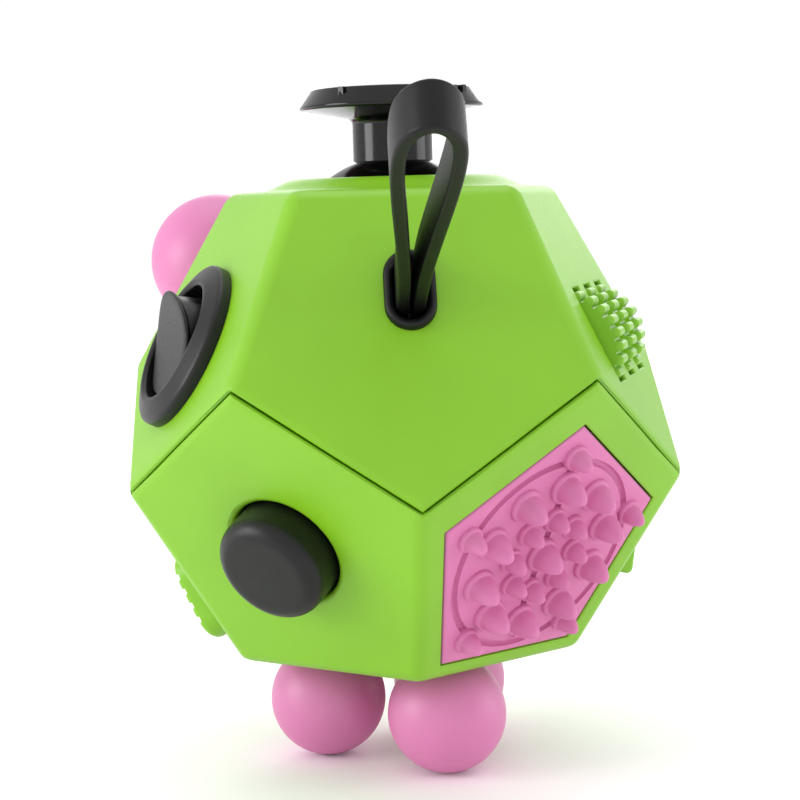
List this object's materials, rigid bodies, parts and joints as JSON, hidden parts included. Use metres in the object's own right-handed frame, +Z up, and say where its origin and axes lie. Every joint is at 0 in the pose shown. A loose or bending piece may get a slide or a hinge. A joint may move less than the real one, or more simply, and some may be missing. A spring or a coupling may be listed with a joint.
{
  "type": "fidget toy",
  "caption": "Dodecahedral fidget toy with a different finger gadget on every face, such as a joystick, dial, knob, rocker, sliders and rolling balls, and a wrist loop.",
  "frame": {"origin": "the point on the desk under the middle of the body, where the part stands on its three ball feet", "axes": "+Z up through the joystick face, -Y out over the wrist strap's edge, +X to the right seen from the strap's side"},
  "size_m": [0.0522, 0.0805, 0.065],
  "materials": {
    "green_shell": "moulded, satin sheen",
    "green_gadget": "moulded, satin sheen",
    "pink_plastic": "moulded, soft sheen",
    "pink_silicone": "soft matte",
    "black_gloss": "moulded, semi-gloss",
    "black_satin": "moulded, satin",
    "black_silicone": "soft matte",
    "inner_plastic": "moulded, unpolished",
    "spring_steel": "drawn wire"
  },
  "bodies": {
    "shell": {"upper_shell": "green_shell", "lower_shell": "green_shell", "strap_grommet": "black_satin", "strap_loop": "black_silicone", "dial_ring": "green_gadget", "rocker_bezel": "black_satin", "touch_pad": "pink_silicone", "joystick_bracket": "inner_plastic", "joystick_spring": "spring_steel", "strap_anchor": "inner_plastic", "gear_axle": "spring_steel", "gear_cradle": "inner_plastic", "knob_guide": "inner_plastic", "knob_spring": "spring_steel", "rocker_pin": "spring_steel", "flip_pin": "spring_steel", "flip_bracket": "inner_plastic", "slider_tray": "inner_plastic", "button_guide": "inner_plastic", "button_spring": "spring_steel", "ball_post_1": "inner_plastic", "ball_post_2": "inner_plastic", "ball_post_3": "inner_plastic", "centre_retainer": "inner_plastic"},
    "gimbal": {"gimbal_ring": "inner_plastic"},
    "stick": {"joystick_cap": "black_gloss", "joystick_dome": "black_gloss", "joystick_stem": "inner_plastic"},
    "wheel_1": {"gear_wheel_1": "green_gadget"},
    "wheel_2": {"gear_wheel_2": "green_gadget"},
    "wheel_3": {"gear_wheel_3": "green_gadget"},
    "dial": {"dial": "green_gadget", "dial_clip": "spring_steel"},
    "plunger": {"knob_plunger": "inner_plastic"},
    "knob": {"knob": "pink_plastic"},
    "rocker": {"rocker": "black_satin"},
    "paddle_1": {"flip_paddle_1": "green_gadget"},
    "paddle_2": {"flip_paddle_2": "green_gadget"},
    "slider_1": {"slider_1": "green_gadget", "slider_carrier_1": "inner_plastic"},
    "slider_2": {"slider_2": "green_gadget", "slider_carrier_2": "inner_plastic"},
    "slider_3": {"slider_3": "green_gadget", "slider_carrier_3": "inner_plastic"},
    "button": {"button_cap": "black_satin"},
    "foot_1": {"foot_ball_1": "pink_plastic"},
    "foot_2": {"foot_ball_2": "pink_plastic"},
    "foot_3": {"foot_ball_3": "pink_plastic"},
    "centre": {"centre_ball": "pink_plastic"}
  },
  "joints": [
    {"name": "joystick_tilt_side", "type": "hinge", "parent": "shell", "child": "gimbal", "pos_m": [0, 0, 0.04849], "axis": [1, 0, 0], "range_deg": [-12, 12], "stiffness_Nm_per_rad": 0.004},
    {"name": "joystick_tilt_front", "type": "hinge", "parent": "gimbal", "child": "stick", "pos_m": [0, 0, 0.04849], "axis": [0, 1, 0], "range_deg": [-12, 12], "stiffness_Nm_per_rad": 0.004, "deforming": ["joystick_spring"]},
    {"name": "wheel_1_spin", "type": "hinge", "parent": "shell", "child": "wheel_1", "pos_m": [0.01455, -0.01156, 0.04014], "axis": [0.309, 0.9511, 0], "continuous": true},
    {"name": "wheel_2_spin", "type": "hinge", "parent": "shell", "child": "wheel_2", "pos_m": [0.01656, -0.00538, 0.04014], "axis": [0.309, 0.9511, 0], "continuous": true},
    {"name": "wheel_3_spin", "type": "hinge", "parent": "shell", "child": "wheel_3", "pos_m": [0.01857, 0.0008, 0.04014], "axis": [0.309, 0.9511, 0], "continuous": true},
    {"name": "dial_spin", "type": "hinge", "parent": "shell", "child": "dial", "pos_m": [0.01171, 0.01612, 0.04318], "axis": [0.5257, 0.7236, 0.4472], "continuous": true},
    {"name": "knob_press", "type": "slide", "parent": "shell", "child": "plunger", "axis": [-0.5257, 0.7236, 0.4472], "range_m": [-0.003, 0], "stiffness_N_per_m": 150, "deforming": ["knob_spring"]},
    {"name": "knob_spin", "type": "hinge", "parent": "plunger", "child": "knob", "pos_m": [-0.01171, 0.01612, 0.04318], "axis": [-0.5257, 0.7236, 0.4472], "continuous": true},
    {"name": "rocker_tilt", "type": "hinge", "parent": "shell", "child": "rocker", "pos_m": [-0.02056, -0.00668, 0.04157], "axis": [0.309, -0.9511, 0], "range_deg": [-36, 0]},
    {"name": "paddle_1_tilt", "type": "hinge", "parent": "shell", "child": "paddle_1", "pos_m": [0.01466, 0.0095, 0.02478], "axis": [-0.309, 0.9511, 0], "range_deg": [-24, 0]},
    {"name": "paddle_2_tilt", "type": "hinge", "parent": "shell", "child": "paddle_2", "pos_m": [0.01744, 0.00094, 0.02478], "axis": [-0.309, 0.9511, 0], "range_deg": [0, 24]},
    {"name": "slider_1_slide", "type": "slide", "parent": "shell", "child": "slider_1", "axis": [-0.4253, 0.1382, 0.8944], "range_m": [-0.0078, 0]},
    {"name": "slider_2_slide", "type": "slide", "parent": "shell", "child": "slider_2", "axis": [-0.4253, 0.1382, 0.8944], "range_m": [-0.0078, 0]},
    {"name": "slider_3_slide", "type": "slide", "parent": "shell", "child": "slider_3", "axis": [-0.4253, 0.1382, 0.8944], "range_m": [0, 0.0078]},
    {"name": "button_press", "type": "slide", "parent": "shell", "child": "button", "axis": [-0.5257, -0.7236, -0.4472], "range_m": [-0.0016, 0], "stiffness_N_per_m": 80, "deforming": ["button_spring"]},
    {"name": "foot_1_spin", "type": "hinge", "parent": "shell", "child": "foot_1", "pos_m": [0.00464, 0.00639, 0.00565], "axis": [0, 0, -1], "continuous": true},
    {"name": "foot_2_spin", "type": "hinge", "parent": "shell", "child": "foot_2", "pos_m": [0.00321, -0.00722, 0.00565], "axis": [0, 0, -1], "continuous": true},
    {"name": "foot_3_spin", "type": "hinge", "parent": "shell", "child": "foot_3", "pos_m": [-0.00786, 0.00083, 0.00565], "axis": [0, 0, -1], "continuous": true},
    {"name": "centre_ball_roll", "type": "hinge", "parent": "shell", "child": "centre", "pos_m": [0, 0, 0.01155], "axis": [-1, 0, 0], "continuous": true}
  ]
}
